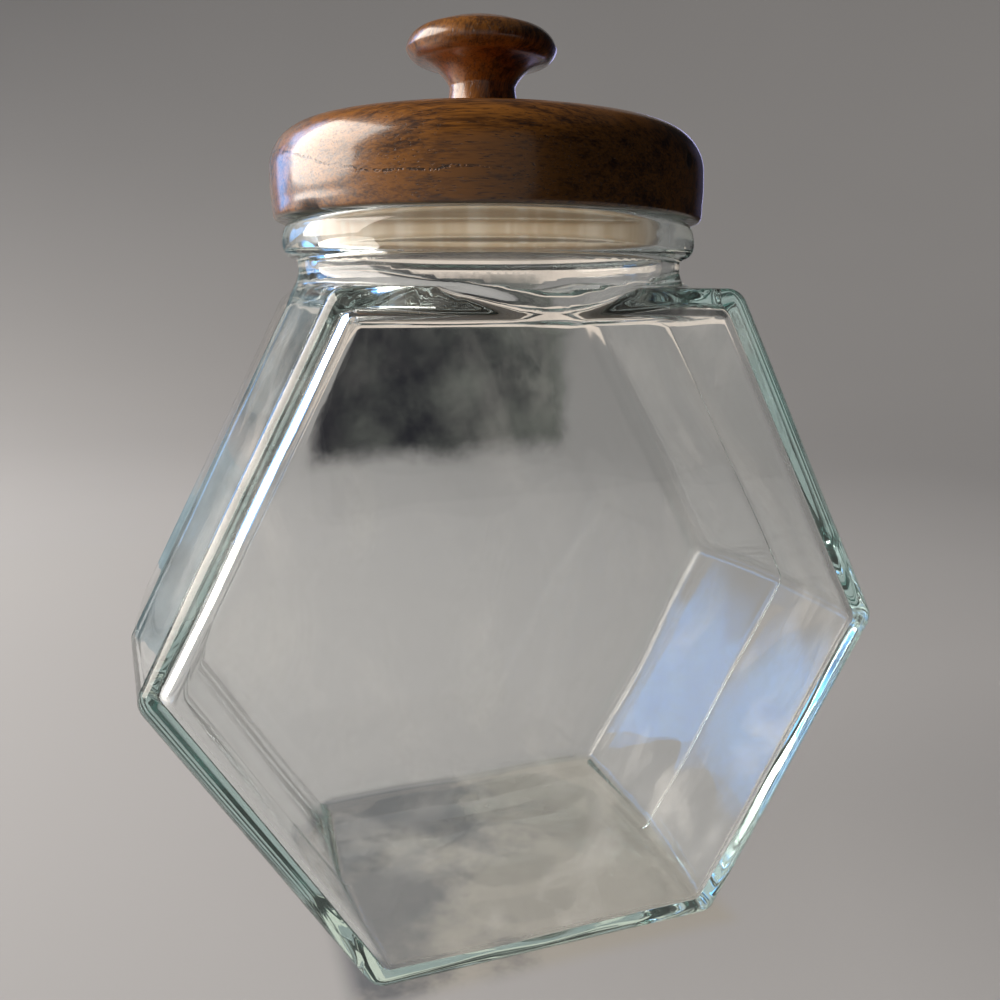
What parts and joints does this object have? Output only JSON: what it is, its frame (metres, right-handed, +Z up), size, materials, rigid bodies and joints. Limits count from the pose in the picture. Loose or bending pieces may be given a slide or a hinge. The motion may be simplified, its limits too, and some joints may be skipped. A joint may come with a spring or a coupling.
{
  "type": "hexagonal storage jar",
  "caption": "Clear glass storage jar with a hexagonal prism body standing on one side, a round beaded neck and a turned wooden lid with a mushroom knob and a ribbed seal.",
  "frame": {"origin": "Centre of the base, on the surface the jar stands on.", "axes": "+Z is up. The large hexagonal faces look along -Y and +Y, and the widest corners of the hexagon are on -X and +X."},
  "size_m": [0.1884, 0.105, 0.2256],
  "materials": {
    "glass": "clear, faint aqua tint",
    "wood": "satin varnish",
    "knob_wood": "satin varnish",
    "seal": "translucent soft plastic"
  },
  "bodies": {
    "root": {"jar": "glass", "lid": "wood", "knob": "knob_wood", "seal": "seal"}
  },
  "joints": []
}
